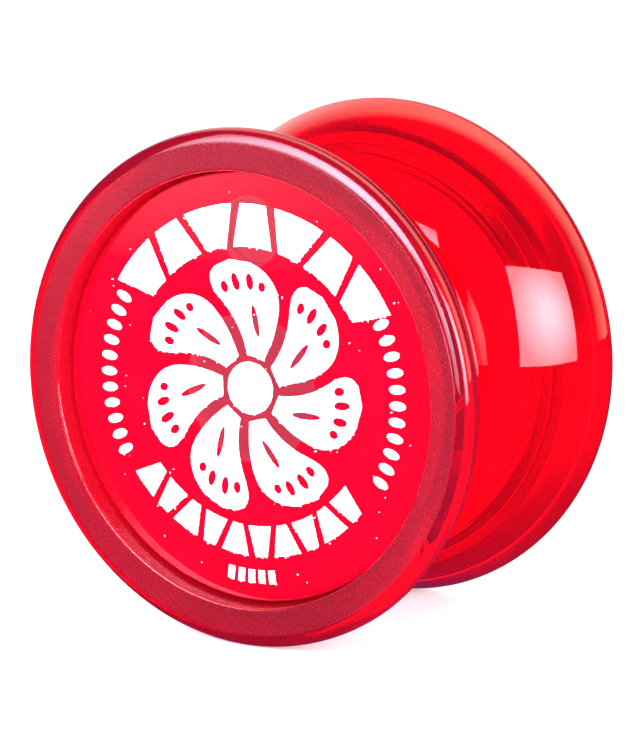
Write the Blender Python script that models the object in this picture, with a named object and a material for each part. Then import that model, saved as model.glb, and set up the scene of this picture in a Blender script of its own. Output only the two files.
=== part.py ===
"""A clear red yo-yo with flared halves, built as separate pieces on one steel axle.

The spin axis is Y. The origin is on that axis, midway between the two halves, at the middle of the
string gap. The printed front face looks along -Y, and +Z is up. Every outline is drawn in millimetres
as (radius, height), where height is the distance from the middle of the gap along the axis.
"""

import math

import bmesh
import bpy
from mathutils import Matrix

MM = 0.001
CLEARANCE = 0.3

# Body: a bowl-shaped half, used twice, back to back.
BODY_RADIUS = 28.5
WIDEST_HEIGHT = 14.88
FACE_HEIGHT = 16.8
FACE_OUTER_RADIUS = 27.0
FACE_STEP = 0.1
RECESS_RADIUS = 23.95
LIP_ROUNDING = 0.3
STRING_GAP = 3.0
HUB_FACE_RADIUS = 10.58
WALL = 2.4
EDGE_CHAMFER = 0.3

# Side cap: a flat disc sunk into the half, with a seat ring, a spigot and a round moulded boss.
CAP_FACE_HEIGHT = 14.4
CAP_THICKNESS = 2.0
CAP_EDGE_THICKNESS = 2.6
SEAT_WIDTH = 1.55
SPIGOT_WIDTH = 1.1
SPIGOT_END_HEIGHT = 9.8
CAP_BOSS_RADIUS = 3.85
CAP_BOSS_OFFSET = 17.2
CAP_BOSS_LENGTH = 1.6

# Hub: a round boss in each half, with a hexagonal nut pocket and a seat for the sleeve's end.
HUB_RADIUS = 8.2
HUB_TOP_HEIGHT = 11.9
SLEEVE_SEAT_DEPTH = 1.2

# Steel: a threaded rod, two hexagonal nuts, and the sleeve that the string's loop runs on.
ROD_RADIUS = 1.5
THREAD_DEPTH = 0.28
THREAD_PITCH = 0.5
THREAD_START = 5.0
ROD_CHAMFER = 0.4
NUT_ACROSS_FLATS = 5.5
NUT_THICKNESS = 2.4
NUT_SEAT_HEIGHT = 5.4
NUT_CHAMFER_ANGLE = math.radians(30)
ROD_PAST_NUT = 1.2
SLEEVE_RADIUS = 3.2
SLEEVE_CHAMFER = 0.25

# Facets round each turned piece, points along each arc of an outline, and small allowances.
BODY_STEPS = 72
CAP_BOSS_STEPS = 36
METAL_STEPS = 36
ROD_STEPS = 24
FLANK_POINTS = 11
CAVITY_POINTS = 8
RIM_POINTS = 5
LIP_POINTS = 4
SHARP_ANGLE = math.radians(28)
SAME_POINT = 0.001
CUTTER_OVERRUN = 1.0

HEXAGON = 6
FRONT = "front"
REAR = "rear"
TURN = {FRONT: math.radians(90), REAR: math.radians(-90)}


def clear_scene():
    for item in list(bpy.data.objects):
        bpy.data.objects.remove(item, do_unlink=True)


def make_material(name, colour, roughness, metallic, transmission=0.0):
    material = bpy.data.materials.new(name)
    material.use_nodes = True
    shader = material.node_tree.nodes["Principled BSDF"]
    shader.inputs["Base Color"].default_value = (*colour, 1.0)
    shader.inputs["Roughness"].default_value = roughness
    shader.inputs["Metallic"].default_value = metallic
    shader.inputs["Transmission Weight"].default_value = transmission
    material.diffuse_color = (*colour, 1.0)
    return material


def arc(centre, radius, start, end, count):
    """Points on a circle in the (radius, height) plane, with angles in degrees from the radius outward."""
    points = []
    for index in range(count):
        angle = math.radians(start + (end - start) * index / (count - 1))
        points.append((centre[0] + radius * math.cos(angle), centre[1] + radius * math.sin(angle)))
    return points


def flank_radius():
    """The arc that leaves the hub face flat and meets the widest circle."""
    reach = BODY_RADIUS - HUB_FACE_RADIUS
    rise = WIDEST_HEIGHT - STRING_GAP / 2
    return (reach**2 + rise**2) / (2 * rise)


def flank_arc(inset, low, high, count):
    """The flank, or a surface inset from it, between two distances from the axis."""
    outer = flank_radius()
    centre = (HUB_FACE_RADIUS, STRING_GAP / 2 + outer)
    radius = outer - inset
    angles = [-math.degrees(math.acos((reach - centre[0]) / radius)) for reach in (low, high)]
    return arc(centre, radius, angles[0], angles[1], count)


def rim_arc(count):
    """The glossy rounding from the widest circle in to the foot of the face ring's step."""
    reach = BODY_RADIUS - FACE_OUTER_RADIUS
    rise = FACE_HEIGHT - FACE_STEP - WIDEST_HEIGHT
    radius = (reach**2 + rise**2) / (2 * reach)
    end = math.degrees(math.asin(rise / radius))
    return arc((BODY_RADIUS - radius, WIDEST_HEIGHT), radius, 0, end, count)


def half_outline():
    """From the sleeve's seat out along the flank, over the rim and lip, and back through the cavity."""
    hub_face = STRING_GAP / 2
    seat_floor = hub_face + SLEEVE_SEAT_DEPTH
    seat_radius = SLEEVE_RADIUS + CLEARANCE
    bore = ROD_RADIUS + CLEARANCE
    ledge_height = CAP_FACE_HEIGHT - CAP_EDGE_THICKNESS - CLEARANCE
    cavity_radius = RECESS_RADIUS - SEAT_WIDTH
    outline = [(bore, seat_floor), (seat_radius, seat_floor)]
    outline.append((seat_radius, hub_face + EDGE_CHAMFER))
    outline.append((seat_radius + EDGE_CHAMFER, hub_face))
    outline += flank_arc(0, HUB_FACE_RADIUS, BODY_RADIUS, FLANK_POINTS)
    outline += rim_arc(RIM_POINTS)
    outline.append((FACE_OUTER_RADIUS, FACE_HEIGHT))
    lip_centre = (RECESS_RADIUS + LIP_ROUNDING, FACE_HEIGHT - LIP_ROUNDING)
    outline += arc(lip_centre, LIP_ROUNDING, 90, 180, LIP_POINTS)
    outline += [(RECESS_RADIUS, ledge_height), (cavity_radius, ledge_height)]
    outline += reversed(flank_arc(WALL, HUB_FACE_RADIUS, cavity_radius, CAVITY_POINTS))
    outline.append((HUB_RADIUS, hub_face + WALL))
    outline.append((HUB_RADIUS, HUB_TOP_HEIGHT - EDGE_CHAMFER))
    outline.append((HUB_RADIUS - EDGE_CHAMFER, HUB_TOP_HEIGHT))
    outline.append((bore, HUB_TOP_HEIGHT))
    return without_repeats(outline)


def cap_outline():
    """A disc whose edge sits on the half's ledge, with a spigot that drops into its cavity."""
    edge = RECESS_RADIUS - CLEARANCE
    back = CAP_FACE_HEIGHT - CAP_THICKNESS
    edge_back = CAP_FACE_HEIGHT - CAP_EDGE_THICKNESS
    spigot_outer = RECESS_RADIUS - SEAT_WIDTH - CLEARANCE
    spigot_inner = spigot_outer - SPIGOT_WIDTH
    return [
        (0, back),
        (spigot_inner, back),
        (spigot_inner, SPIGOT_END_HEIGHT),
        (spigot_outer - EDGE_CHAMFER, SPIGOT_END_HEIGHT),
        (spigot_outer, SPIGOT_END_HEIGHT + EDGE_CHAMFER),
        (spigot_outer, edge_back),
        (edge, edge_back),
        (edge, CAP_FACE_HEIGHT - EDGE_CHAMFER),
        (edge - EDGE_CHAMFER, CAP_FACE_HEIGHT),
        (0, CAP_FACE_HEIGHT),
    ]


def rod_end():
    """Half the rod's length, to its end face."""
    return NUT_SEAT_HEIGHT + NUT_THICKNESS + ROD_PAST_NUT


def thread_points():
    """Crests and roots of the rod's rolled thread, from its start out to the end chamfer."""
    points = []
    height = THREAD_START
    while height + THREAD_PITCH < rod_end() - ROD_CHAMFER:
        points.append((ROD_RADIUS, height))
        points.append((ROD_RADIUS - THREAD_DEPTH, height + THREAD_PITCH / 2))
        height += THREAD_PITCH
    points.append((ROD_RADIUS, height))
    return points


def rod_outline():
    """The whole rod, drawn as its upper half and that half mirrored."""
    end = rod_end()
    upper = thread_points() + [(ROD_RADIUS - ROD_CHAMFER, end), (0, end)]
    lower = [(radius, -height) for radius, height in reversed(upper)]
    return lower + upper


def sleeve_outline():
    """A tube whose ends stop just short of the seats in the two halves."""
    end = STRING_GAP / 2 + SLEEVE_SEAT_DEPTH - CLEARANCE
    bore = ROD_RADIUS + CLEARANCE
    outer = SLEEVE_RADIUS
    cut = SLEEVE_CHAMFER
    return [
        (bore, -end),
        (outer - cut, -end),
        (outer, -end + cut),
        (outer, end - cut),
        (outer - cut, end),
        (bore, end),
    ]


def hexagon_radius(across_flats):
    return across_flats / math.sqrt(3)


def nut_outline():
    """A turned blank with cone-shaped chamfers. A hexagonal prism then trims it to six flats."""
    bore = ROD_RADIUS + CLEARANCE
    blank = hexagon_radius(NUT_ACROSS_FLATS) + CLEARANCE
    flat = NUT_ACROSS_FLATS / 2
    slope = math.tan(NUT_CHAMFER_ANGLE) * (blank - flat)
    low = NUT_SEAT_HEIGHT
    high = NUT_SEAT_HEIGHT + NUT_THICKNESS
    return [
        (bore, low),
        (flat, low),
        (blank, low + slope),
        (blank, high - slope),
        (flat, high),
        (bore, high),
    ]


def without_repeats(outline):
    """Where one stretch starts at the point that the last one ended on, one copy is kept."""
    kept = []
    for point in outline:
        if not kept or math.dist(point, kept[-1]) > SAME_POINT:
            kept.append(point)
    return kept


def face_outwards(bm):
    bmesh.ops.recalc_face_normals(bm, faces=bm.faces)
    if bm.calc_volume(signed=True) < 0:
        bmesh.ops.reverse_faces(bm, faces=bm.faces)


def add_object(name, bm, material):
    mesh = bpy.data.meshes.new(name)
    face_outwards(bm)
    bm.to_mesh(mesh)
    bm.free()
    mesh.materials.append(material)
    mesh.shade_smooth()
    mesh.set_sharp_from_angle(angle=SHARP_ANGLE)
    made = bpy.data.objects.new(name, mesh)
    bpy.context.collection.objects.link(made)
    return made


def turned_mesh(outline, steps):
    """Turns a closed outline about local Z. Half a step of offset puts a flat facet lowest."""
    bm = bmesh.new()
    offset = Matrix.Rotation(math.pi / steps, 3, "Z")
    corners = [bm.verts.new((radius * MM, 0, height * MM)) for radius, height in outline]
    for first, second in zip(corners, corners[1:] + corners[:1]):
        bm.edges.new((first, second))
    bmesh.ops.rotate(bm, verts=bm.verts, cent=(0, 0, 0), matrix=offset)
    bmesh.ops.spin(
        bm,
        geom=list(bm.verts) + list(bm.edges),
        cent=(0, 0, 0),
        axis=(0, 0, 1),
        angle=math.tau,
        steps=steps,
        use_merge=True,
    )
    bmesh.ops.remove_doubles(bm, verts=bm.verts, dist=SAME_POINT * MM)
    lone = [edge for edge in bm.edges if not edge.link_faces]
    bmesh.ops.delete(bm, geom=lone, context="EDGES")
    return bm


def turned_object(name, outline, steps, material):
    return add_object(name, turned_mesh(outline, steps), material)


def prism_cutter(name, radius, low, high, sides):
    """A prism about local Z that a Boolean modifier cuts, adds or trims with."""
    bm = bmesh.new()
    place = Matrix.Translation((0, 0, (low + high) / 2 * MM))
    bmesh.ops.create_cone(
        bm,
        cap_ends=True,
        segments=sides,
        radius1=radius * MM,
        radius2=radius * MM,
        depth=(high - low) * MM,
        matrix=place,
    )
    mesh = bpy.data.meshes.new(name)
    bm.to_mesh(mesh)
    bm.free()
    cutter = bpy.data.objects.new(name, mesh)
    bpy.context.collection.objects.link(cutter)
    cutter.hide_render = True
    cutter.display_type = "WIRE"
    return cutter


def add_boolean(target, operation, cutter):
    cutter.parent = target
    boolean = target.modifiers.new(operation.title(), "BOOLEAN")
    boolean.operation = operation
    boolean.solver = "EXACT"
    boolean.object = cutter


def make_half(side, material):
    half = turned_object(f"{side}_half", half_outline(), BODY_STEPS, material)
    pocket_radius = hexagon_radius(NUT_ACROSS_FLATS + 2 * CLEARANCE)
    floor = NUT_SEAT_HEIGHT - CLEARANCE
    top = HUB_TOP_HEIGHT + CUTTER_OVERRUN
    pocket = prism_cutter(f"{side}_nut_pocket_cutter", pocket_radius, floor, top, HEXAGON)
    add_boolean(half, "DIFFERENCE", pocket)
    return half


def make_cap(side, material):
    cap = turned_object(f"{side}_cap", cap_outline(), BODY_STEPS, material)
    back = CAP_FACE_HEIGHT - CAP_THICKNESS
    low = back - CAP_BOSS_LENGTH
    high = back + CAP_THICKNESS / 2
    boss = prism_cutter(f"{side}_cap_boss_shape", CAP_BOSS_RADIUS, low, high, CAP_BOSS_STEPS)
    boss.location = (0, CAP_BOSS_OFFSET * MM, 0)
    add_boolean(cap, "UNION", boss)
    return cap


def make_nut(side, material):
    nut = turned_object(f"{side}_nut", nut_outline(), METAL_STEPS, material)
    low = NUT_SEAT_HEIGHT - CUTTER_OVERRUN
    high = NUT_SEAT_HEIGHT + NUT_THICKNESS + CUTTER_OVERRUN
    prism = prism_cutter(f"{side}_nut_flats_shape", hexagon_radius(NUT_ACROSS_FLATS), low, high, HEXAGON)
    add_boolean(nut, "INTERSECT", prism)
    return nut


def build():
    clear_scene()
    red_plastic = make_material("clear_red_plastic", (0.85, 0.0, 0.03), 0.08, 0.0, transmission=0.7)
    cap_plastic = make_material("cap_red_plastic", (0.9, 0.0, 0.05), 0.12, 0.0, transmission=0.6)
    steel = make_material("plated_steel", (0.62, 0.62, 0.64), 0.3, 1.0)
    for side in (FRONT, REAR):
        pieces = [make_half(side, red_plastic), make_cap(side, cap_plastic), make_nut(side, steel)]
        for piece in pieces:
            piece.rotation_euler = (TURN[side], 0, 0)
    rod = turned_object("axle_rod", rod_outline(), ROD_STEPS, steel)
    sleeve = turned_object("axle_sleeve", sleeve_outline(), METAL_STEPS, steel)
    for piece in (rod, sleeve):
        piece.rotation_euler = (TURN[FRONT], 0, 0)


build()
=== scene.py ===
"""The finished look of a clear red, flared yo-yo: its mouldings, steel parts, print, floor and light.

The spin axis is Y, the printed front looks along -Y and +Z is up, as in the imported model. Outlines are
in millimetres as (radius, height), where height is the distance from the middle of the string gap.
"""

import math
import random

import bmesh
import bpy
from mathutils import Matrix, Vector, noise


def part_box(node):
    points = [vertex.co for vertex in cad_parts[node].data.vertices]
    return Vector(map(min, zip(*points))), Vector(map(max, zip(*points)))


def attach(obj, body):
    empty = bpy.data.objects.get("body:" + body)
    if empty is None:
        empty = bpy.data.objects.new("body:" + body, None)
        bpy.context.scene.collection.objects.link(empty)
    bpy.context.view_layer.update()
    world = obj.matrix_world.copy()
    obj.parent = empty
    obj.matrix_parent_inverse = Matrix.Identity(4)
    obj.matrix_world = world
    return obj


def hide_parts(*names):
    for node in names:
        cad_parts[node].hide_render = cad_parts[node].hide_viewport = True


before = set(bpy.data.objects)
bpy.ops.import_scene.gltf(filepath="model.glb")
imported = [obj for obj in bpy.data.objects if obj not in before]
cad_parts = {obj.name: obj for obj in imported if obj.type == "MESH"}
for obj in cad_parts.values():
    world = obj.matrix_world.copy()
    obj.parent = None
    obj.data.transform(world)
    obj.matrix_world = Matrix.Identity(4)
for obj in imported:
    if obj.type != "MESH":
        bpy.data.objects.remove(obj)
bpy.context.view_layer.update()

MM = 0.001
SPINNING = "spinning_body"
SLEEVE = "sleeve"
FRONT = "front"
REAR = "rear"
TURN = {FRONT: math.radians(90), REAR: math.radians(-90)}

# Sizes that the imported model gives.
half_low, half_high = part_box("front_half")
nut_low, nut_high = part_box("front_nut")
cap_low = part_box("front_cap")[0]
rod_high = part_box("axle_rod")[1]
sleeve_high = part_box("axle_sleeve")[1]
BODY_RADIUS = round(half_high.x / MM, 1)
FACE_HEIGHT = round(-half_low.y / MM, 2)
CAP_FACE_HEIGHT = round(-cap_low.y / MM, 2)
NUT_LOW = round(-nut_high.y / MM, 2)
NUT_HIGH = round(-nut_low.y / MM, 2)
ROD_END = round(rod_high.y / MM, 2)
ROD_RADIUS = round(rod_high.x / MM, 1)
SLEEVE_END = round(sleeve_high.y / MM, 2)
SLEEVE_RADIUS = round(sleeve_high.x / MM, 1)

# Sizes that a node's box doesn't give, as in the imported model.
CLEARANCE = 0.3
WIDEST_HEIGHT = 14.88
FACE_OUTER_RADIUS = 27.0
FACE_STEP = 0.1
RECESS_RADIUS = 23.95
STRING_GAP = 3.0
HUB_FACE_RADIUS = 10.58
WALL = 2.4
CAP_THICKNESS = 2.0
CAP_EDGE_THICKNESS = 2.6
SEAT_WIDTH = 1.55
SPIGOT_WIDTH = 1.1
SPIGOT_END_HEIGHT = 9.8
CAP_BOSS_RADIUS = 3.85
CAP_BOSS_OFFSET = 17.2
CAP_BOSS_LENGTH = 1.6
HUB_RADIUS = 8.2
HUB_TOP_HEIGHT = 11.9
SLEEVE_SEAT_DEPTH = 1.2
LIP_ROUNDING = 0.3
NUT_ACROSS_FLATS = 5.5
NUT_CONE_ANGLE = math.radians(30)
ROD_CHAMFER = 0.4
THREAD_DEPTH = 0.28
THREAD_PITCH = 0.5
THREAD_START = 5.0
BORE = ROD_RADIUS + CLEARANCE
LEDGE_HEIGHT = CAP_FACE_HEIGHT - CAP_EDGE_THICKNESS - CLEARANCE

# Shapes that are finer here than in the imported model: the rim's rounding, in millimetres and degrees,
# and how far the cone on a nut's end stays inside its flats.
RIM_ARC_RADIUS = 2.9
RIM_CREASE_TILT = 5.0
RIM_JOINT_TILT = 24.0
NUT_CONE_SHARE = 0.97

# Fineness of the meshes: steps, points and rows, how far from a fillet its support points are, how
# thick a band of heights counts as one flat face, and the angle of a sharp edge.
BODY_STEPS = 240
METAL_STEPS = 96
FLANK_POINTS = 56
RIM_POINTS = 14
FILLET_STEPS = 6
THREAD_ROWS = 8
CONE_ROWS = 10
OVAL_POINTS = 28
SUPPORT = 0.03
FLAT_BAND = 0.02
SHARP_ANGLE = math.radians(35)

# The sides of a nut and of its pocket.
HEXAGON = 6

# Print: thin white ink on the front cap.
INK_THICKNESS = 0.03
INK_LIFT = 0.004
INK_STEP = 0.13
BLADES = 7
SPECKS = 90
SPECK_REACH = 22.3
SPECK_SEED = 11

# Plastic: the name of the mesh attribute that says where the mould grain is, the lowest and highest
# roughness of the two kinds of grain, how much light the clearest surface lets through, the index of
# refraction, and the dye.
GRAIN = "grain"
SATIN_GRAIN = (0.14, 0.29)
FROSTED_GRAIN = (0.35, 0.42)
POLISHED_CLEARNESS = 0.985
PLASTIC_IOR = 1.54
DYE_COLOUR = (0.977, 0.25, 0.34)
DYE_DENSITY = 600.0

# Steel: below 1, so that it scatters some light as worn steel does, and doesn't only mirror the dim
# room, which made the sleeve look dark violet from the side.
STEEL_METALLIC = 0.75

# Painted shade on a cap: discs where the hub and the boss sit behind it, darker as they look through
# the plastic. Each is a radius and an offset up from the axis.
PAINTED_SHADE_DISCS = ((HUB_RADIUS, 0), (CAP_BOSS_RADIUS, CAP_BOSS_OFFSET))

# Light through the plastic: how bright the white surround is behind, in front of and above the yo-yo.
BACKLIGHT = 2.1
FRONT_THROUGH = 0.6
TOP_THROUGH = 0.35

# Light mirrored in the plastic: a dim room, a white back wall and a warm band beside it.
BEHIND = (-0.52, 0.85, 0.1)
DIM_ROOM = (0.05, 0.03, 0.15)
BRIGHT_BACK = (1.0, 1.0, 1.0)
WARM_BAND = (6.0, 2.6, 2.0)

# Light on the matt pieces and the floor, what the camera sees behind them, and the cards' two colours.
DIFFUSE_ROOM = (1.25, 1.25, 1.25)
BACKDROP = (1.1, 1.1, 1.1)
VIOLET_WHITE = (0.95, 0.88, 1.0)
LILAC = (0.97, 0.80, 1.0)

# Floor: its size, its colour and its own glow. Through the plastic it is dim up to the first of two
# distances from where the yo-yo stands, and as bright as the surround from the second on.
FLOOR_RADIUS = 6.0
FLOOR_WHITE = (0.93, 0.93, 0.93)
FLOOR_GLOW = 0.3
FOOT_SHADE = 0.7
FOOT_SHADE_RADII = (0.018, 0.048)

# How often light may bounce, and the brightest that an indirect sample may be.
LIGHT_BOUNCES = 32
INDIRECT_CLAMP = 6.0


# ---------------------------------------------------------------- outlines

def arc(centre, radius, start, end, count):
    """Points on a circle, with angles in degrees from the radius outward."""
    points = []
    for index in range(count):
        angle = math.radians(start + (end - start) * index / (count - 1))
        points.append((centre[0] + radius * math.cos(angle), centre[1] + radius * math.sin(angle)))
    return points


def flank_radius():
    """The arc that leaves the hub face flat and meets the widest circle."""
    reach = BODY_RADIUS - HUB_FACE_RADIUS
    rise = WIDEST_HEIGHT - STRING_GAP / 2
    return (reach**2 + rise**2) / (2 * rise)


def flank_arc(inset, low, high, count):
    """The flank, or a surface inset from it, between two distances from the axis."""
    outer = flank_radius()
    centre = (HUB_FACE_RADIUS, STRING_GAP / 2 + outer)
    radius = outer - inset
    angles = [-math.degrees(math.acos((reach - centre[0]) / radius)) for reach in (low, high)]
    return arc(centre, radius, angles[0], angles[1], count)


def rim_curve(count):
    """The glossy rounding from the widest circle in to the foot of the face ring's step. A flat arc
    turns down gently from the crease, and an ellipse that carries on from it meets the flank."""
    crease, joint = math.radians(RIM_CREASE_TILT), math.radians(RIM_JOINT_TILT)
    across = RIM_ARC_RADIUS * (math.sin(joint) - math.sin(crease))
    drop = RIM_ARC_RADIUS * (math.cos(crease) - math.cos(joint))
    reach = BODY_RADIUS - FACE_OUTER_RADIUS - across
    rise = FACE_HEIGHT - FACE_STEP - WIDEST_HEIGHT - drop
    half_turn = math.atan(math.sqrt(1 - 2 * math.tan(joint) * reach / rise))
    semi_across = reach / (1 - math.cos(2 * half_turn))
    semi_along = rise / math.sin(2 * half_turn)
    points = []
    for index in range(count):
        turn = 2 * half_turn * index / (count - 1)
        out = BODY_RADIUS - semi_across * (1 - math.cos(turn))
        points.append((out, WIDEST_HEIGHT + semi_along * math.sin(turn)))
    middle = (
        FACE_OUTER_RADIUS - RIM_ARC_RADIUS * math.sin(crease),
        FACE_HEIGHT - FACE_STEP - RIM_ARC_RADIUS * math.cos(crease),
    )
    points += arc(middle, RIM_ARC_RADIUS, 90 - RIM_JOINT_TILT, 90 - RIM_CREASE_TILT, count)[1:]
    return points


def corner(radius, height, rounding=0.0, sides=0):
    """One point of an outline, and the radius that rounds it off. With sides, the point's own radius
    is that of a polygon's flats."""
    return (radius, height, rounding, sides)


def plain(points):
    """Points of a curve, which need no rounding."""
    return [corner(radius, height) for radius, height in points]


def fillet(before, point, after):
    """The arc that rounds one corner, with a support point on each side that keeps the flats flat."""
    here = Vector(point[:2])
    back = Vector(before[:2]) - here
    ahead = Vector(after[:2]) - here
    rounding, sides = point[2], point[3]
    back_way, ahead_way = back.normalized(), ahead.normalized()
    half_angle = back_way.angle(ahead_way) / 2
    tangent = rounding / math.tan(half_angle)
    centre = here + (back_way + ahead_way).normalized() * rounding / math.sin(half_angle)
    first = here + back_way * tangent - centre
    last = here + ahead_way * tangent - centre
    sweep = first.angle(last)
    points = []
    if back.length > tangent + 2 * SUPPORT:
        points.append(here + back_way * (tangent + SUPPORT))
    for index in range(FILLET_STEPS + 1):
        share = index / FILLET_STEPS
        blend = first * math.sin((1 - share) * sweep) + last * math.sin(share * sweep)
        points.append(centre + blend / math.sin(sweep))
    if ahead.length > tangent + 2 * SUPPORT:
        points.append(here + ahead_way * (tangent + SUPPORT))
    return [(found.x, found.y, sides) for found in points]


def rounded(corners, closed):
    """The outline's final points, as (radius, height, sides)."""
    points = []
    count = len(corners)
    for index, point in enumerate(corners):
        if point[2] == 0.0:
            points.append((point[0], point[1], point[3]))
            continue
        before = corners[(index - 1) % count] if closed else corners[max(index - 1, 0)]
        after = corners[(index + 1) % count] if closed else corners[min(index + 1, count - 1)]
        points += fillet(before, point, after)
    return points


def half_outline():
    """One half, from the bore in its hub out along the flank and back over the face and the recess."""
    hub_face = STRING_GAP / 2
    seat_floor = hub_face + SLEEVE_SEAT_DEPTH
    seat_radius = SLEEVE_RADIUS + CLEARANCE
    cavity_radius = RECESS_RADIUS - SEAT_WIDTH
    cavity_floor = hub_face + WALL
    pocket_flat = NUT_ACROSS_FLATS / 2 + CLEARANCE
    pocket_floor = NUT_LOW - CLEARANCE
    corners = [
        corner(BORE, seat_floor, 0.12),
        corner(seat_radius, seat_floor, 0.12),
        corner(seat_radius, hub_face, 0.25),
    ]
    corners += plain(flank_arc(0, HUB_FACE_RADIUS, BODY_RADIUS, FLANK_POINTS))
    corners += plain(rim_curve(RIM_POINTS)[1:])
    corners += [
        corner(FACE_OUTER_RADIUS, FACE_HEIGHT, 0.06),
        corner(RECESS_RADIUS, FACE_HEIGHT, LIP_ROUNDING),
        corner(RECESS_RADIUS, LEDGE_HEIGHT, 0.12),
        corner(cavity_radius, LEDGE_HEIGHT, 0.15),
    ]
    corners += plain(reversed(flank_arc(WALL, HUB_FACE_RADIUS, cavity_radius, FLANK_POINTS)))
    corners += [
        corner(HUB_RADIUS, cavity_floor, 0.6),
        corner(HUB_RADIUS, HUB_TOP_HEIGHT, 0.35),
        corner(pocket_flat, HUB_TOP_HEIGHT, 0.2, HEXAGON),
        corner(pocket_flat, pocket_floor, 0.15, HEXAGON),
        corner(BORE, pocket_floor, 0.12),
    ]
    return rounded(corners, closed=True)


def cap_outline():
    """The disc that closes a half, with its thick edge and its spigot ring."""
    edge = RECESS_RADIUS - CLEARANCE
    back = CAP_FACE_HEIGHT - CAP_THICKNESS
    edge_back = CAP_FACE_HEIGHT - CAP_EDGE_THICKNESS
    spigot_outer = RECESS_RADIUS - SEAT_WIDTH - CLEARANCE
    spigot_inner = spigot_outer - SPIGOT_WIDTH
    corners = [
        corner(0, back),
        corner(spigot_inner, back, 0.25),
        corner(spigot_inner, SPIGOT_END_HEIGHT, 0.15),
        corner(spigot_outer, SPIGOT_END_HEIGHT, 0.3),
        corner(spigot_outer, edge_back, 0.15),
        corner(edge, edge_back, 0.12),
        corner(edge, CAP_FACE_HEIGHT, 0.18),
        corner(0, CAP_FACE_HEIGHT),
    ]
    return rounded(corners, closed=False)


def boss_outline():
    """The round boss on the back of the cap. It starts inside the disc."""
    back = CAP_FACE_HEIGHT - CAP_THICKNESS
    corners = [
        corner(0, back - CAP_BOSS_LENGTH),
        corner(CAP_BOSS_RADIUS, back - CAP_BOSS_LENGTH, 0.25),
        corner(CAP_BOSS_RADIUS, back + CAP_THICKNESS / 2),
        corner(0, back + CAP_THICKNESS / 2),
    ]
    return rounded(corners, closed=False)


def sleeve_outline():
    """The tube on the middle of the rod."""
    corners = [
        corner(BORE, -SLEEVE_END, 0.15),
        corner(SLEEVE_RADIUS, -SLEEVE_END, 0.25),
        corner(SLEEVE_RADIUS, SLEEVE_END, 0.25),
        corner(BORE, SLEEVE_END, 0.15),
    ]
    return rounded(corners, closed=True)


# ---------------------------------------------------------------- meshes

def polygon_stretch(angle, sides):
    """How much further a polygon's side lies from the axis than its flat does, at an angle."""
    if not sides:
        return 1.0
    sector = math.tau / sides
    return 1 / math.cos((angle % sector) - sector / 2)


def close_mesh(name, points, faces):
    """A mesh from points in millimetres, with its faces turned outwards."""
    bm = bmesh.new()
    corners = [bm.verts.new(point) for point in points]
    for face in faces:
        bm.faces.new([corners[index] for index in face])
    bmesh.ops.recalc_face_normals(bm, faces=bm.faces)
    if bm.calc_volume(signed=True) < 0:
        bmesh.ops.reverse_faces(bm, faces=bm.faces)
    mesh = bpy.data.meshes.new(name)
    bm.to_mesh(mesh)
    bm.free()
    return mesh


def turned_mesh(name, outline, steps, closed, shape=None):
    """Turns an outline about local Z. An open outline starts and ends on the axis."""
    points = []
    rows = []
    for radius, height, sides in outline:
        if radius == 0:
            rows.append([len(points)] * steps)
            points.append((0, 0, height))
            continue
        rows.append(range(len(points), len(points) + steps))
        for step in range(steps):
            angle = math.tau * (step + 0.5) / steps
            reach = radius * polygon_stretch(angle, sides)
            if shape:
                reach = shape(reach, height, angle)
            points.append((reach * math.cos(angle), reach * math.sin(angle), height))
    faces = []
    pairs = list(zip(rows, rows[1:]))
    if closed:
        pairs.append((rows[-1], rows[0]))
    for lower, upper in pairs:
        for step in range(steps):
            ahead = (step + 1) % steps
            face = [lower[step], lower[ahead], upper[ahead], upper[step]]
            faces.append(list(dict.fromkeys(face)))
    return close_mesh(name, points, faces)


def place(mesh, side):
    """Millimetres to metres, local Z along the spin axis, and smooth shading between sharp edges."""
    mesh.transform(Matrix.Rotation(TURN[side], 4, "X") @ Matrix.Scale(MM, 4))
    mesh.shade_smooth()
    mesh.set_sharp_from_angle(angle=SHARP_ANGLE)


def add_piece(name, mesh, material, body):
    """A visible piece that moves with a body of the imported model."""
    mesh.name = name
    mesh.materials.append(material)
    piece = bpy.data.objects.new(name, mesh)
    bpy.context.scene.collection.objects.link(piece)
    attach(piece, body)
    return piece


def mark_grain(mesh, areas):
    """Sets the grain attribute to 1 on the faces inside these areas of the outline, and to 0 on the
    others. An area is an inner and an outer radius, a low and a high height."""
    attribute = mesh.attributes.new(GRAIN, "FLOAT", "FACE")
    for face in mesh.polygons:
        radius, height = math.hypot(face.center.x, face.center.y), face.center.z
        for inner, outer, low, high in areas:
            if inner <= radius <= outer and low <= height <= high:
                attribute.data[face.index].value = 1.0


def flat_area(inner, outer, height):
    """The area for mark_grain that holds a flat face at a height."""
    return (inner, outer, height - FLAT_BAND, height + FLAT_BAND)


def joined_with_boss(cap_mesh, boss_mesh):
    """The cap with its round boss, made one body by a Boolean union."""
    boss_mesh.transform(Matrix.Translation((0, CAP_BOSS_OFFSET, 0)))
    holder = bpy.data.objects.new("cap_blank", cap_mesh)
    cutter = bpy.data.objects.new("boss_blank", boss_mesh)
    for item in (holder, cutter):
        bpy.context.scene.collection.objects.link(item)
    union = holder.modifiers.new("Union", "BOOLEAN")
    union.operation = "UNION"
    union.solver = "EXACT"
    union.object = cutter
    depsgraph = bpy.context.evaluated_depsgraph_get()
    joined = bpy.data.meshes.new_from_object(holder.evaluated_get(depsgraph))
    for item in (holder, cutter):
        bpy.data.objects.remove(item)
    return joined


def nut_shape(reach, height, angle):
    """A hexagonal bar whose corners are cut back by a cone at both ends. At the very end the cone is
    a little smaller than the flats."""
    flat = NUT_ACROSS_FLATS / 2
    if reach <= BORE + CLEARANCE:
        return reach
    from_end = min(height - NUT_LOW, NUT_HIGH - height)
    cone = flat * NUT_CONE_SHARE + from_end / math.tan(NUT_CONE_ANGLE)
    return min(flat * polygon_stretch(angle, HEXAGON), cone)


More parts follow.
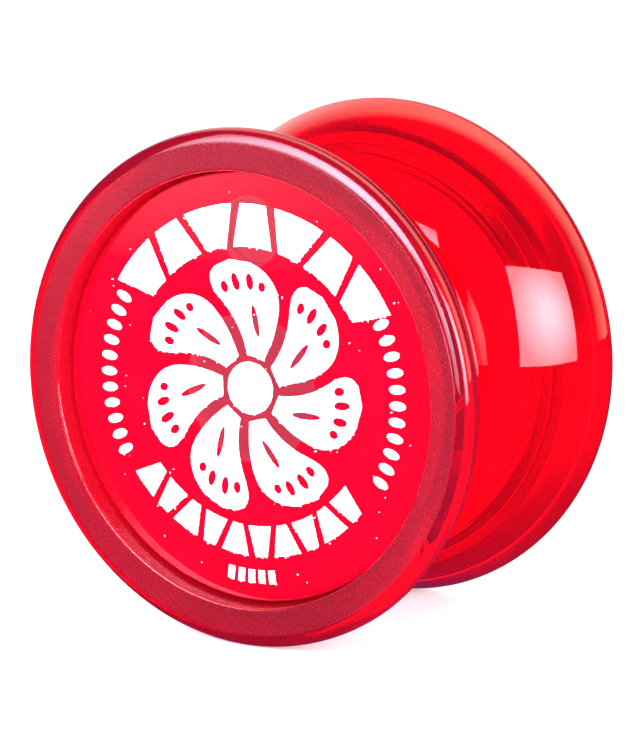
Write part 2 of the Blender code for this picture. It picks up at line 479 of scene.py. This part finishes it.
def nut_outline():
    """Rows of points up the flats, close together where the cone cuts them, and down the ribbed bore."""
    rise = NUT_ACROSS_FLATS / 2 * (2 / math.sqrt(3) - NUT_CONE_SHARE) * math.tan(NUT_CONE_ANGLE)
    outer = NUT_ACROSS_FLATS / math.sqrt(3)
    rows = [rise * row / CONE_ROWS for row in range(CONE_ROWS + 1)]
    top = NUT_HIGH - NUT_LOW
    heights = rows + [top / 2] + [top - row for row in reversed(rows)]
    outline = [(BORE, NUT_LOW, 0)]
    outline += [(outer, NUT_LOW + height, 0) for height in heights]
    outline.append((BORE, NUT_HIGH, 0))
    outline += [(BORE - THREAD_DEPTH * (index % 2), height, 0) for index, height in nut_thread_rows()]
    return outline


def nut_thread_rows():
    """Rows down the bore, two for each turn of the thread."""
    count = round((NUT_HIGH - NUT_LOW) / THREAD_PITCH * 2) - 1
    step = (NUT_HIGH - NUT_LOW) / (count + 1)
    return [(index, NUT_HIGH - step * index) for index in range(1, count + 1)]


def rod_shape(reach, height, angle):
    """A helical thread on both ends of the rod, and a plain shank between them."""
    from_start = abs(height) - THREAD_START
    if reach < ROD_RADIUS - 0.001 or from_start < 0:
        return reach
    turns = (height / THREAD_PITCH + angle / math.tau) % 1
    fade = min(1.0, from_start / THREAD_PITCH)
    return reach - THREAD_DEPTH * fade * abs(2 * turns - 1)


def rod_outline():
    """Rows of points up the rod, close together where the thread is."""
    threaded = ROD_END - ROD_CHAMFER - THREAD_START
    count = math.ceil(threaded / THREAD_PITCH * THREAD_ROWS)
    heights = [THREAD_START + threaded * index / count for index in range(count + 1)]
    outline = [(0, -ROD_END, 0), (ROD_RADIUS - ROD_CHAMFER, -ROD_END, 0)]
    outline += [(ROD_RADIUS, -height, 0) for height in reversed(heights)]
    outline += [(ROD_RADIUS, height, 0) for height in heights]
    outline += [(ROD_RADIUS - ROD_CHAMFER, ROD_END, 0), (0, ROD_END, 0)]
    return outline


# ---------------------------------------------------------------- materials

def new_material(name):
    """A material, its node tree and its Principled BSDF."""
    material = bpy.data.materials.new(name)
    material.use_nodes = True
    tree = material.node_tree
    return material, tree, tree.nodes["Principled BSDF"]


def noise_node(tree, scale, detail=3.0, roughness=0.5, stretch=(1, 1, 1)):
    """Noise in object space. The scale is in features for each metre."""
    coordinates = tree.nodes.new("ShaderNodeTexCoord")
    mapping = tree.nodes.new("ShaderNodeMapping")
    mapping.inputs["Scale"].default_value = stretch
    texture = tree.nodes.new("ShaderNodeTexNoise")
    texture.inputs["Scale"].default_value = scale
    texture.inputs["Detail"].default_value = detail
    texture.inputs["Roughness"].default_value = roughness
    tree.links.new(coordinates.outputs["Object"], mapping.inputs["Vector"])
    tree.links.new(mapping.outputs["Vector"], texture.inputs["Vector"])
    return texture.outputs["Fac"]


def ramp(tree, factor, low, high, start=0.3, end=0.7):
    """A colour that goes from low to high as the factor goes from start to end. The usual start and
    end hold most of a noise texture."""
    node = tree.nodes.new("ShaderNodeValToRGB")
    node.color_ramp.elements[0].position = start
    node.color_ramp.elements[0].color = (*low, 1)
    node.color_ramp.elements[1].position = end
    node.color_ramp.elements[1].color = (*high, 1)
    tree.links.new(factor, node.inputs["Fac"])
    return node.outputs["Color"]


def remap(tree, factor, low, high, start=0.3, end=0.7):
    """A number that goes from low to high as the factor goes from start to end, as in ramp."""
    node = tree.nodes.new("ShaderNodeMapRange")
    node.inputs["From Min"].default_value = start
    node.inputs["From Max"].default_value = end
    node.inputs["To Min"].default_value = low
    node.inputs["To Max"].default_value = high
    tree.links.new(factor, node.inputs["Value"])
    return node.outputs["Result"]


def mix_colour(tree, factor, first, second):
    """The first colour where the factor is 0, and the second where it is 1."""
    node = tree.nodes.new("ShaderNodeMix")
    node.data_type = "RGBA"
    tree.links.new(factor, node.inputs["Factor"])
    for socket, colour in ((node.inputs[6], first), (node.inputs[7], second)):
        if isinstance(colour, tuple):
            socket.default_value = colour
        else:
            tree.links.new(colour, socket)
    return node.outputs[2]


def combined(tree, operation, first, second):
    """One number from two: the smaller (MINIMUM), the larger (MAXIMUM) or their product (MULTIPLY)."""
    node = tree.nodes.new("ShaderNodeMath")
    node.operation = operation
    tree.links.new(first, node.inputs[0])
    tree.links.new(second, node.inputs[1])
    return node.outputs["Value"]


def mix_number(tree, factor, first, second):
    """The first number where the factor is 0, and the second where it is 1."""
    node = tree.nodes.new("ShaderNodeMix")
    tree.links.new(factor, node.inputs["Factor"])
    tree.links.new(first, node.inputs["A"])
    tree.links.new(second, node.inputs["B"])
    return node.outputs["Result"]


def add_bump(tree, shader, height, distance, strength=1.0):
    """Fine relief from a height between 0 and 1. The distance is in metres."""
    node = tree.nodes.new("ShaderNodeBump")
    node.inputs["Strength"].default_value = strength
    node.inputs["Distance"].default_value = distance
    tree.links.new(height, node.inputs["Height"])
    tree.links.new(node.outputs["Normal"], shader.inputs["Normal"])


def painted_shade_mask(tree, discs):
    """The mask of the painted shade on a cap: 1 inside these discs, seen along the spin axis, and 0
    outside.
    A disc is a radius and an offset up from the axis, in millimetres."""
    coordinates = tree.nodes.new("ShaderNodeTexCoord")
    flat = tree.nodes.new("ShaderNodeVectorMath")
    flat.operation = "MULTIPLY"
    flat.inputs[1].default_value = (1, 0, 1)
    tree.links.new(coordinates.outputs["Object"], flat.inputs[0])
    found = None
    for radius, offset in discs:
        away = tree.nodes.new("ShaderNodeVectorMath")
        away.operation = "DISTANCE"
        away.inputs[1].default_value = (0, 0, offset * MM)
        tree.links.new(flat.outputs["Vector"], away.inputs[0])
        low, high = (radius - 0.1) * MM, (radius + 0.1) * MM
        inside = remap(tree, away.outputs["Value"], 1.0, 0.0, low, high)
        found = combined(tree, "MAXIMUM", found, inside) if found else inside
    return found


def red_plastic(name, clear, satin, grain_roughness, clearness, painted_shade=None):
    """See-through red moulding. It is polished where the mesh's grain attribute is 0, with faint flow
    marks and rub marks, and has a fine even mould grain where the attribute is 1. The clearness is the
    share of light that the polished and the grained surface let through, and the rest is scattered. A
    painted shade is a darker colour painted on a cap where the hub and the boss sit behind it, as they
    look through the plastic."""
    material, tree, shader = new_material(name)
    shader.inputs["IOR"].default_value = PLASTIC_IOR
    area = tree.nodes.new("ShaderNodeAttribute")
    area.attribute_name = GRAIN
    grained = area.outputs["Fac"]
    cloud = noise_node(tree, 90.0)
    colour = mix_colour(tree, grained, ramp(tree, cloud, *clear), ramp(tree, cloud, *satin))
    # Painted shade: a darker colour on a cap where the hub and the boss sit behind it.
    if painted_shade:
        in_painted_shade = painted_shade_mask(tree, PAINTED_SHADE_DISCS)
        colour = mix_colour(tree, in_painted_shade, colour, (*painted_shade, 1))
    tree.links.new(colour, shader.inputs["Base Color"])
    if clearness[0] == clearness[1]:
        shader.inputs["Transmission Weight"].default_value = clearness[0]
    else:
        passed = remap(tree, grained, *clearness, 0.0, 1.0)
        tree.links.new(passed, shader.inputs["Transmission Weight"])
    rub = noise_node(tree, 900.0, detail=4.0, stretch=(1, 0.25, 1))
    grain = noise_node(tree, 7500.0, detail=1.0)
    polished = remap(tree, rub, 0.0, 0.02, 0.45, 0.75)
    roughness = mix_number(tree, grained, polished, remap(tree, grain, *grain_roughness))
    tree.links.new(roughness, shader.inputs["Roughness"])
    flow = remap(tree, noise_node(tree, 120.0), 0.0, 0.12, 0.0, 1.0)
    add_bump(tree, shader, mix_number(tree, grained, flow, grain), 0.000005, 0.5)
    volume = tree.nodes.new("ShaderNodeVolumeAbsorption")
    volume.inputs["Color"].default_value = (*DYE_COLOUR, 1)
    volume.inputs["Density"].default_value = DYE_DENSITY
    tree.links.new(volume.outputs["Volume"], tree.nodes["Material Output"].inputs["Volume"])
    return material


def steel(name, dark, light, rough_low, rough_high, stretch):
    """Plated or turned steel, a little dull, with fine marks. A stretch below 1 makes them longer along
    that axis, and above 1 finer."""
    material, tree, shader = new_material(name)
    shader.inputs["Metallic"].default_value = STEEL_METALLIC
    marks = noise_node(tree, 2600.0, detail=4.0, stretch=stretch)
    tree.links.new(ramp(tree, marks, dark, light), shader.inputs["Base Color"])
    tree.links.new(remap(tree, marks, rough_low, rough_high), shader.inputs["Roughness"])
    add_bump(tree, shader, marks, 0.00001, 0.5)
    return material


def white_ink():
    """Opaque white pad print, matt, slightly uneven, with pinholes as tiny dents."""
    material, tree, shader = new_material("white_ink")
    shader.inputs["Roughness"].default_value = 0.55
    cloud = noise_node(tree, 1400.0, detail=4.0)
    colour = ramp(tree, cloud, (0.86, 0.85, 0.86), (0.93, 0.93, 0.93))
    tree.links.new(colour, shader.inputs["Base Color"])
    add_bump(tree, shader, noise_node(tree, 5000.0), 0.00001, 0.5)
    return material


# ---------------------------------------------------------------- pieces

def make_half(side, finish):
    """One half. Its face ring, its hub's top and its recess's wall and ledge have the mould grain."""
    mesh = turned_mesh(f"{side}_shell", half_outline(), BODY_STEPS, closed=True)
    areas = [
        flat_area(RECESS_RADIUS, FACE_OUTER_RADIUS, FACE_HEIGHT),
        flat_area(0, HUB_RADIUS, HUB_TOP_HEIGHT),
        (RECESS_RADIUS - SEAT_WIDTH, RECESS_RADIUS, LEDGE_HEIGHT - 0.02, FACE_HEIGHT - LIP_ROUNDING),
    ]
    mark_grain(mesh, areas)
    place(mesh, side)
    shell = add_piece(f"{side}_shell", mesh, finish, SPINNING)
    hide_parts(f"{side}_half")


def make_cap(side, finish):
    """One cap. All of it but its face has the mould grain."""
    disc = turned_mesh("cap_disc", cap_outline(), BODY_STEPS, closed=False)
    boss = turned_mesh("cap_boss", boss_outline(), METAL_STEPS, closed=False)
    mesh = joined_with_boss(disc, boss)
    behind_face = (0, RECESS_RADIUS, SPIGOT_END_HEIGHT - 0.1, CAP_FACE_HEIGHT - 0.2)
    mark_grain(mesh, [behind_face])
    place(mesh, side)
    cover = add_piece(f"{side}_cover", mesh, finish, SPINNING)
    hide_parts(f"{side}_cap")


def make_nut(side, finish):
    """The nut in one half's hub."""
    mesh = turned_mesh(f"{side}_hex_nut", nut_outline(), METAL_STEPS, closed=True, shape=nut_shape)
    place(mesh, side)
    nut = add_piece(f"{side}_hex_nut", mesh, finish, SPINNING)
    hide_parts(f"{side}_nut")


def make_axle(rod_finish, sleeve_finish):
    """The rod, which turns with the halves, and the sleeve, which stays with the string."""
    mesh = turned_mesh("threaded_rod", rod_outline(), METAL_STEPS, closed=False, shape=rod_shape)
    place(mesh, FRONT)
    rod = add_piece("threaded_rod", mesh, rod_finish, SPINNING)
    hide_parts("axle_rod")
    mesh = turned_mesh("turning_sleeve", sleeve_outline(), METAL_STEPS, closed=True)
    place(mesh, FRONT)
    sleeve = add_piece("turning_sleeve", mesh, sleeve_finish, SLEEVE)
    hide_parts("axle_sleeve")


# ---------------------------------------------------------------- print

def polar(radius, angle):
    """A point on the cap's face. The angle is in degrees from 3 o'clock, anticlockwise."""
    return (radius * math.cos(math.radians(angle)), radius * math.sin(math.radians(angle)))


def sector_loop(inner, outer, start, end, lean=0.0):
    """A block between two radii and two angles. A lean makes its outer end narrower, or wider if it is
    negative."""
    count = max(3, math.ceil(abs(end - start) / 2))
    loop = []
    for index in range(count + 1):
        loop.append(polar(outer, start + lean + (end - start - 2 * lean) * index / count))
    for index in range(count + 1):
        loop.append(polar(inner, end + lean - (end - start + 2 * lean) * index / count))
    return loop


def oval_loop(radius, angle, long_half, wide_half, tilt=0.0):
    """An oval at a place on the cap, its long way along the radius, turned by a tilt in degrees."""
    middle = Vector(polar(radius, angle))
    along = Vector(polar(1, angle + tilt))
    across = Vector((-along.y, along.x))
    loop = []
    for index in range(OVAL_POINTS):
        turn = math.tau * index / OVAL_POINTS
        point = middle + along * long_half * math.cos(turn) + across * wide_half * math.sin(turn)
        loop.append((point.x, point.y))
    return loop


def resampled(loop, step):
    """Points along a closed loop, about one step apart."""
    points = []
    for first, last in zip(loop, loop[1:] + loop[:1]):
        count = max(1, round(math.dist(first, last) / step))
        for index in range(count):
            share = index / count
            across = first[0] + (last[0] - first[0]) * share
            up = first[1] + (last[1] - first[1]) * share
            points.append((across, up))
    return points


def face_noise(point, scale, layer):
    """Smooth noise over the cap's face, from about -1 to 1. Each layer has a pattern of its own."""
    return noise.noise(Vector((point[0] * scale, point[1] * scale, layer)))


def ragged(loop, wave=0.06, burr=0.28):
    """The loop with a printed edge: a faint waver all round, and small burrs on edges that face down."""
    points = resampled(loop, INK_STEP)
    area = sum(a[0] * b[1] - b[0] * a[1] for a, b in zip(points, points[1:] + points[:1]))
    outward = 1 if area > 0 else -1
    shifted = []
    for index, point in enumerate(points):
        before = Vector(points[index - 1])
        after = Vector(points[(index + 1) % len(points)])
        along = (after - before).normalized()
        normal = Vector((along.y, -along.x)) * outward
        waver = face_noise(point, scale=4.0, layer=3.1)
        spike = max(0.0, face_noise(point, scale=6.3, layer=8.7) - 0.12)
        downward = max(0.0, -normal.y)
        push = wave * waver + burr * spike * downward * 2
        moved = Vector(point) + normal * push
        shifted.append((moved.x, moved.y))
    return shifted


def ink_mesh(name, loops):
    """A thin sheet of ink from closed loops. A loop inside another one is a hole in it."""
    curve = bpy.data.curves.new(name, "CURVE")
    curve.dimensions = "2D"
    curve.fill_mode = "BOTH"
    curve.extrude = INK_THICKNESS / 2
    for loop in loops:
        spline = curve.splines.new("POLY")
        spline.points.add(len(loop) - 1)
        for point, place_at in zip(spline.points, loop):
            point.co = (place_at[0], place_at[1], 0, 1)
        spline.use_cyclic_u = True
    holder = bpy.data.objects.new(name, curve)
    bpy.context.scene.collection.objects.link(holder)
    depsgraph = bpy.context.evaluated_depsgraph_get()
    mesh = bpy.data.meshes.new_from_object(holder.evaluated_get(depsgraph))
    bpy.data.objects.remove(holder)
    bpy.data.curves.remove(curve)
    bm = bmesh.new()
    bm.from_mesh(mesh)
    bmesh.ops.remove_doubles(bm, verts=bm.verts, dist=0.0005)
    bmesh.ops.recalc_face_normals(bm, faces=bm.faces)
    bm.to_mesh(mesh)
    bm.free()
    return mesh


def add_ink(name, loops, finish):
    """A piece of print, just above the front cap's face."""
    mesh = ink_mesh(name, loops)
    middle = CAP_FACE_HEIGHT + INK_LIFT + INK_THICKNESS / 2
    mesh.transform(Matrix.Translation((0, 0, middle)))
    mesh.transform(Matrix.Rotation(TURN[FRONT], 4, "X") @ Matrix.Scale(MM, 4))
    add_piece(name, mesh, finish, SPINNING)


def blade_loops(angle):
    """One blade of the rosette, swept back and round at its tip, with a slot and a row of ovals cut
    through it. Widths and offsets round the axis are in degrees."""
    sweep, half_width = 22.0, 22.3
    root, tip = 3.7, 14.2
    steps = 26
    leading, trailing = [], []
    for index in range(steps + 1):
        share = index / steps
        radius = root + (tip - root) * share
        centre = angle + sweep * share**1.4
        round_tip = math.sqrt(max(0.0, 1 - max(0.0, (share - 0.55) / 0.45) ** 2.4))
        slim_root = 1 - 0.25 * (1 - share) ** 2
        width = half_width * round_tip * slim_root
        leading.append(polar(radius, centre + width))
        trailing.append(polar(radius, centre - width))
    blade = ragged(leading + list(reversed(trailing))[1:])
    slot = oval_loop(7.5, angle + sweep * 0.26, 1.8, 0.38, tilt=18)
    ovals = []
    for offset, length in ((-12.5, 0.55), (-4.6, 0.9), (4.4, 1.0), (12.0, 0.66)):
        radius = 11.9 - abs(offset) * 0.045
        ovals.append(oval_loop(radius, angle + sweep * 0.72 + offset, length, 0.47, tilt=10))
    return [blade] + [ragged(hole, burr=0.08) for hole in [slot] + ovals]


def block_row(inner, outer, first, pitch, width, count, lean=0.0):
    """Blocks between two radii, one every pitch degrees, that narrow outwards and inwards by turns."""
    loops = []
    for index in range(count):
        start = first + index * pitch
        turn = lean if index % 2 else -lean
        loops.append(ragged(sector_loop(inner, outer, start, start + width, turn)))
    return loops


def oval_row(radius, first, pitch, count):
    """Small ovals at one radius, one every pitch degrees."""
    angles = [first + index * pitch for index in range(count)]
    return [ragged(oval_loop(radius, angle, 1.0, 0.5), burr=0.05) for angle in angles]


def make_print(finish):
    """A rosette with blocks above and below it, ovals at its sides and small bars at the foot."""
    rosette = []
    for index in range(BLADES):
        rosette += blade_loops(79 + index * 360 / BLADES)
    top = block_row(15.5, 20.2, first=31, pitch=17, width=13.8, count=7, lean=2.2)
    bottom = block_row(15.3, 18.7, first=217.5, pitch=10.6, width=7.7, count=10, lean=1.5)
    left = oval_row(18.6, first=152.5, pitch=5.5, count=11)
    right = oval_row(18.6, first=-27.5, pitch=5.5, count=11)
    foot = block_row(20.2, 21.7, first=262, pitch=3.6, width=2.3, count=5)
    add_ink("print_rosette", rosette, finish)
    add_ink("print_centre", [ragged(oval_loop(0, 0, 2.9, 2.9))], finish)
    add_ink("print_top_blocks", top, finish)
    add_ink("print_bottom_blocks", bottom, finish)
    add_ink("print_side_dots", left + right, finish)
    add_ink("print_foot_bars", foot, finish)


def make_specks(finish):
    """Loose specks of ink all over the cap's face."""
    random.seed(SPECK_SEED)
    loops = []
    for _ in range(SPECKS):
        radius = SPECK_REACH * math.sqrt(random.random())
        angle = random.uniform(0, 360)
        size = random.uniform(0.025, 0.07)
        loops.append(oval_loop(radius, angle, size * random.uniform(1, 2.5), size, random.uniform(0, 90)))
    add_ink("print_specks", loops, finish)


# ---------------------------------------------------------------- stage

def flat_light(tree, colour, strength):
    """A surface that looks equally bright from everywhere."""
    node = tree.nodes.new("ShaderNodeEmission")
    node.inputs["Color"].default_value = (*colour, 1)
    node.inputs["Strength"].default_value = strength
    return node.outputs["Emission"]


def mix_shader(tree, factor, first, second):
    """The first shader where the factor is 0, and the second where it is 1."""
    node = tree.nodes.new("ShaderNodeMixShader")
    tree.links.new(factor, node.inputs["Fac"])
    tree.links.new(first, node.inputs[1])
    tree.links.new(second, node.inputs[2])
    return node.outputs["Shader"]


def make_floor():
    """A matt white disc. Through the plastic it is dimmer close to where the yo-yo stands, and in a
    mirror it is as dim as the room."""
    mesh = bpy.data.meshes.new("floor")
    bm = bmesh.new()
    bmesh.ops.create_circle(bm, cap_ends=True, segments=128, radius=FLOOR_RADIUS)
    bm.to_mesh(mesh)
    bm.free()
    floor = bpy.data.objects.new("floor", mesh)
    bpy.context.scene.collection.objects.link(floor)
    floor.location = (0, 0, -BODY_RADIUS * MM)
    material, tree, shader = new_material("pale_floor")
    shader.inputs["Base Color"].default_value = (*FLOOR_WHITE, 1)
    shader.inputs["Roughness"].default_value = 1.0
    shader.inputs["Specular IOR Level"].default_value = 0.0
    shader.inputs["Emission Color"].default_value = (1, 1, 1, 1)
    shader.inputs["Emission Strength"].default_value = FLOOR_GLOW
    rays = tree.nodes.new("ShaderNodeLightPath")
    coordinates = tree.nodes.new("ShaderNodeTexCoord")
    away = tree.nodes.new("ShaderNodeVectorMath")
    away.operation = "LENGTH"
    tree.links.new(coordinates.outputs["Object"], away.inputs[0])
    brightness = remap(tree, away.outputs["Value"], FOOT_SHADE, BACKLIGHT, *FOOT_SHADE_RADII)
    through = flat_light(tree, (1.0, 1.0, 1.0), 1.0)
    tree.links.new(brightness, through.node.inputs["Strength"])
    mirrored = flat_light(tree, DIM_ROOM, 1.0)
    surface = mix_shader(tree, rays.outputs["Is Glossy Ray"], shader.outputs["BSDF"], mirrored)
    surface = mix_shader(tree, rays.outputs["Is Transmission Ray"], surface, through)
    tree.links.new(surface, tree.nodes["Material Output"].inputs["Surface"])
    mesh.materials.append(material)


def make_world():
    """The surround. Through the plastic it is white, brightest behind the yo-yo and dimmer overhead. In
    a mirror it is a dim room, with a white wall straight behind and a warm band beside that."""
    world = bpy.data.worlds.new("studio")
    bpy.context.scene.world = world
    world.use_nodes = True
    tree = world.node_tree
    background = tree.nodes["Background"]
    coordinates = tree.nodes.new("ShaderNodeTexCoord")
    facing = tree.nodes.new("ShaderNodeVectorMath")
    facing.operation = "DOT_PRODUCT"
    facing.inputs[1].default_value = Vector(BEHIND).normalized()
    tree.links.new(coordinates.outputs["Generated"], facing.inputs[0])
    share = remap(tree, facing.outputs["Value"], FRONT_THROUGH, BACKLIGHT, 0.0, 0.5)
    parts = tree.nodes.new("ShaderNodeSeparateXYZ")
    tree.links.new(coordinates.outputs["Generated"], parts.inputs["Vector"])
    overhead = remap(tree, parts.outputs["Z"], BACKLIGHT, TOP_THROUGH, 0.2, 0.6)
    through = combined(tree, "MINIMUM", share, overhead)
    grazing = remap(tree, facing.outputs["Value"], 0.0, 1.0, 0.75, 0.98)
    mirrored = ramp(tree, grazing, DIM_ROOM, BRIGHT_BACK, 0.0, 1.0)
    near_side = remap(tree, parts.outputs["Y"], 0.0, 1.0, 0.3, 0.42)
    far_side = remap(tree, parts.outputs["Y"], 1.0, 0.0, 0.6, 0.7)
    to_right = remap(tree, parts.outputs["X"], 0.0, 1.0, -0.9, 0.1)
    band = combined(tree, "MINIMUM", near_side, far_side)
    band = combined(tree, "MULTIPLY", band, to_right)
    mirrored = mix_colour(tree, band, mirrored, (*WARM_BAND, 1))
    rays = tree.nodes.new("ShaderNodeLightPath")
    colour = mix_colour(tree, rays.outputs["Is Glossy Ray"], (*DIFFUSE_ROOM, 1), mirrored)
    colour = mix_colour(tree, rays.outputs["Is Transmission Ray"], colour, through)
    colour = mix_colour(tree, rays.outputs["Is Camera Ray"], colour, (*BACKDROP, 1))
    tree.links.new(colour, background.inputs["Color"])


def card_face(light):
    """The light's node tree, and the spot on its face: X across and Y up, both from 0 to 1."""
    light.use_nodes = True
    tree = light.node_tree
    geometry = tree.nodes.new("ShaderNodeNewGeometry")
    parts = tree.nodes.new("ShaderNodeSeparateXYZ")
    tree.links.new(geometry.outputs["Parametric"], parts.inputs["Vector"])
    return tree, geometry.outputs["Parametric"], parts.outputs


def lamp_fall(tree, spot, lamp, bright, dim, start, end):
    """How bright a spot of the cloth is: from bright close to its lamp to dim further off."""
    away = tree.nodes.new("ShaderNodeVectorMath")
    away.operation = "DISTANCE"
    away.inputs[1].default_value = (*lamp, 0)
    tree.links.new(spot, away.inputs[0])
    return remap(tree, away.outputs["Value"], bright, dim, start, end)


def shade_low_edge(light):
    """The cloth fades out towards its lower edge and its right edge."""
    tree, _, parts = card_face(light)
    down = remap(tree, parts["Y"], 0.0, 1.0, 0.0, 1.0)
    across = remap(tree, parts["X"], 1.0, 0.0, 0.4, 1.0)
    fade = combined(tree, "MULTIPLY", down, across)
    tree.links.new(fade, tree.nodes["Emission"].inputs["Strength"])


def shade_downward(light):
    """The cloth fades out towards its lower edge."""
    tree, _, parts = card_face(light)
    down = remap(tree, parts["Y"], 0.0, 1.0, 0.0, 1.0)
    tree.links.new(down, tree.nodes["Emission"].inputs["Strength"])


def shade_hot_side(light):
    """The cloth is brightest where its lamp stands, right of its middle, and dark at its lower edge."""
    tree, spot, parts = card_face(light)
    fade = remap(tree, parts["Y"], 0.0, 1.0, 0.0, 0.15)
    fall = lamp_fall(tree, spot, (0.68, 0.36), 1.7, 0.35, 0.1, 0.7)
    strength = combined(tree, "MULTIPLY", fade, fall)
    tree.links.new(strength, tree.nodes["Emission"].inputs["Strength"])


def shade_middle(light):
    """The cloth is brightest round its middle, and falls off towards its edges."""
    tree, spot, _ = card_face(light)
    fall = lamp_fall(tree, spot, (0.5, 0.5), 1.0, 0.35, 0.1, 0.55)
    tree.links.new(fall, tree.nodes["Emission"].inputs["Strength"])


def add_softbox(name, middle, aim, width, height, radiance, colour, shade):
    """An upright rectangular light, in millimetres. Its power follows from how bright its face looks."""
    light = bpy.data.lights.new(name, "AREA")
    light.shape = "RECTANGLE"
    light.size = width * MM
    light.size_y = height * MM
    light.energy = radiance * math.pi * light.size * light.size_y
    light.color = colour
    shade(light)
    holder = bpy.data.objects.new(name, light)
    bpy.context.scene.collection.objects.link(holder)
    holder.location = Vector(middle) * MM
    holder.rotation_euler = Vector(aim).to_track_quat("-Z", "Y").to_euler()
    holder.visible_camera = False


def make_lights():
    """Three cards in one upright plane in front of the yo-yo, one high and two low, and a softbox on
    the right."""
    ahead = (0, 1, 0)
    leftward = (-0.822, 0.567, -0.05)
    add_softbox("front_softbox", (-74, -220, 107), ahead, 232, 160, 12.5, LILAC, shade_hot_side)
    add_softbox("low_card", (-150, -220, -19.5), ahead, 110, 21, 1.8, VIOLET_WHITE, shade_low_edge)
    add_softbox("side_card", (13.5, -220, -11.5), ahead, 57, 77, 12.0, LILAC, shade_downward)
    add_softbox("right_softbox", (231, -60, 58), leftward, 180, 165, 18.0, VIOLET_WHITE, shade_middle)


def make_camera():
    """The camera stands to the right of the front and a little above, and looks at the origin."""
    azimuth, elevation, distance = math.radians(31.9), math.radians(11.08), 433.8 * MM
    camera = bpy.data.cameras.new("camera")
    camera.sensor_width = 36.0
    camera.lens = 189.3
    camera.shift_x = -0.0008
    camera.shift_y = -0.0049
    camera.clip_start = 0.01
    camera.clip_end = 50.0
    holder = bpy.data.objects.new("camera", camera)
    bpy.context.scene.collection.objects.link(holder)
    away = Vector(
        (
            math.sin(azimuth) * math.cos(elevation),
            -math.cos(azimuth) * math.cos(elevation),
            math.sin(elevation),
        )
    )
    holder.location = away * distance
    holder.rotation_euler = (-away).to_track_quat("-Z", "Y").to_euler()
    bpy.context.scene.camera = holder


def set_view():
    """Plain colours, enough bounces for light that runs round inside the walls, and a limit on stray
    bright samples."""
    scene = bpy.context.scene
    scene.view_settings.view_transform = "Standard"
    scene.cycles.max_bounces = LIGHT_BOUNCES
    scene.cycles.transmission_bounces = LIGHT_BOUNCES
    scene.cycles.glossy_bounces = LIGHT_BOUNCES
    scene.cycles.sample_clamp_indirect = INDIRECT_CLAMP


def half_finishes():
    """The plastic of the two halves, which are one moulding. The front half is a darker copy that lets
    less
    light through than the rear one: painted shade, matched to how the light falls on the front.
    """
    clear = ((0.95, 0.012, 0.06), (0.98, 0.018, 0.07))
    # Painted shade: the front half's satin grain is darker than the rear half's, though both are one
    # plastic.
    front_satin_shaded = ((0.29, 0.002, 0.015), (0.35, 0.003, 0.020))
    rear_satin = ((0.66, 0.008, 0.03), (0.74, 0.012, 0.04))
    front_clearness = (0.93, 0.62)
    rear_clearness = (POLISHED_CLEARNESS, 0.84)
    return {
        FRONT: red_plastic("front_red_shaded", clear, front_satin_shaded, SATIN_GRAIN, front_clearness),
        REAR: red_plastic("rear_red", clear, rear_satin, SATIN_GRAIN, rear_clearness),
    }


def cap_finishes():
    """The plastic of the two caps. The face and the frosted back of a cap are of one colour. The front
    cap is a darker, less clear copy of the rear cap's plastic: painted shade, matched to how the light
    falls on the front.
    """
    # Painted shade: the front cap's colour is darker than the rear cap's, though both are one plastic.
    front_disc_shaded = ((0.86, 0.0015, 0.026), (0.92, 0.0025, 0.032))
    rear_disc = ((0.95, 0.012, 0.27), (0.98, 0.018, 0.31))
    front_clearness = (0.7, 0.7)
    rear_clearness = (POLISHED_CLEARNESS, POLISHED_CLEARNESS)
    # Painted shade on each cap: the darker colour where the hub and the boss sit behind it.
    front_painted_shade = (0.5, 0.045, 0.07)
    rear_painted_shade = (0.8, 0.16, 0.22)
    front = (front_disc_shaded, front_disc_shaded, FROSTED_GRAIN, front_clearness, front_painted_shade)
    rear = (rear_disc, rear_disc, FROSTED_GRAIN, rear_clearness, rear_painted_shade)
    return {FRONT: red_plastic("front_cap_red_shaded", *front), REAR: red_plastic("rear_cap_red", *rear)}


def make_yoyo():
    """Every piece of the yo-yo, and the print on its front cap."""
    halves = half_finishes()
    caps = cap_finishes()
    plated = steel("plated_steel", (0.50, 0.50, 0.52), (0.72, 0.72, 0.73), 0.22, 0.38, (1, 1, 1))
    turned = steel("turned_steel", (0.52, 0.51, 0.50), (0.80, 0.79, 0.77), 0.25, 0.40, (0.15, 4, 0.15))
    for side in (FRONT, REAR):
        make_half(side, halves[side])
        make_cap(side, caps[side])
        make_nut(side, plated)
    make_axle(plated, turned)
    ink = white_ink()
    make_print(ink)
    make_specks(ink)


make_camera()
set_view()
make_world()
make_lights()
make_floor()
make_yoyo()
